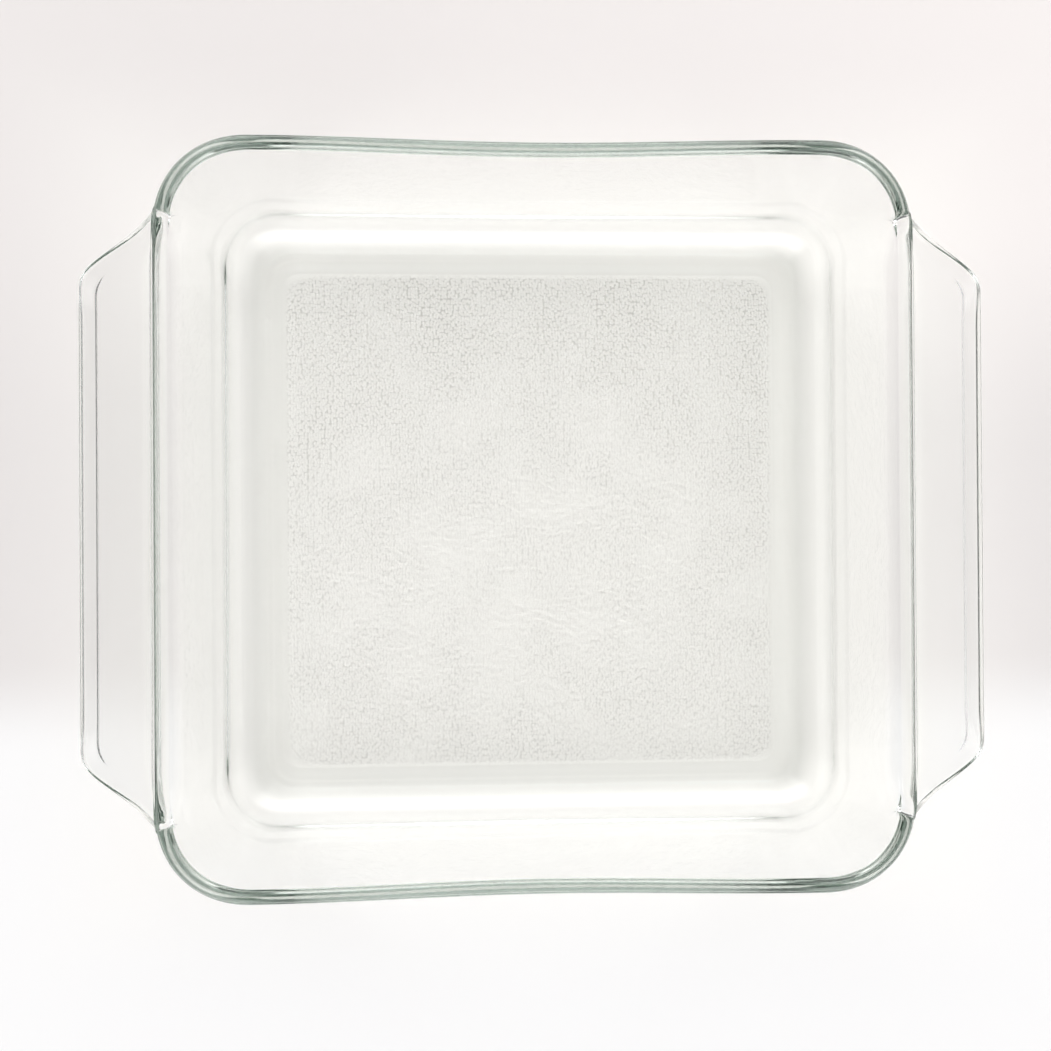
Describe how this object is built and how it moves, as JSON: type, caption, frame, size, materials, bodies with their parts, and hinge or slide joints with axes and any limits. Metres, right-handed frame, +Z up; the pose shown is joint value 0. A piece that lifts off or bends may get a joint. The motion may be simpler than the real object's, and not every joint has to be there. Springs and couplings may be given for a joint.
{
  "type": "square baking dish",
  "caption": "Square clear-glass baking dish with flaring walls, round corners, a soft-edged rim and a tab handle with a finger lip on two opposite sides.",
  "frame": {"origin": "on the table under the middle of the dish", "axes": "+X through the right-hand handle, +Y towards the back wall, +Z up out of the dish's mouth"},
  "size_m": [0.2628, 0.22, 0.054],
  "materials": {
    "clear_glass": "clear pressed glass with a faint green tint that deepens along the rim, fire-polished",
    "pebbled_glass": "the same glass, smooth inside, with a finely pebbled underside"
  },
  "bodies": {
    "root": {"floor_panel": "pebbled_glass", "foot_ring": "clear_glass", "rim": "clear_glass", "wall_right": "clear_glass", "wall_back": "clear_glass", "wall_left": "clear_glass", "wall_front": "clear_glass", "corner_back_right": "clear_glass", "corner_back_left": "clear_glass", "corner_front_left": "clear_glass", "corner_front_right": "clear_glass", "handle_right": "clear_glass", "finger_lip_right": "clear_glass", "handle_left": "clear_glass", "finger_lip_left": "clear_glass"}
  },
  "joints": []
}
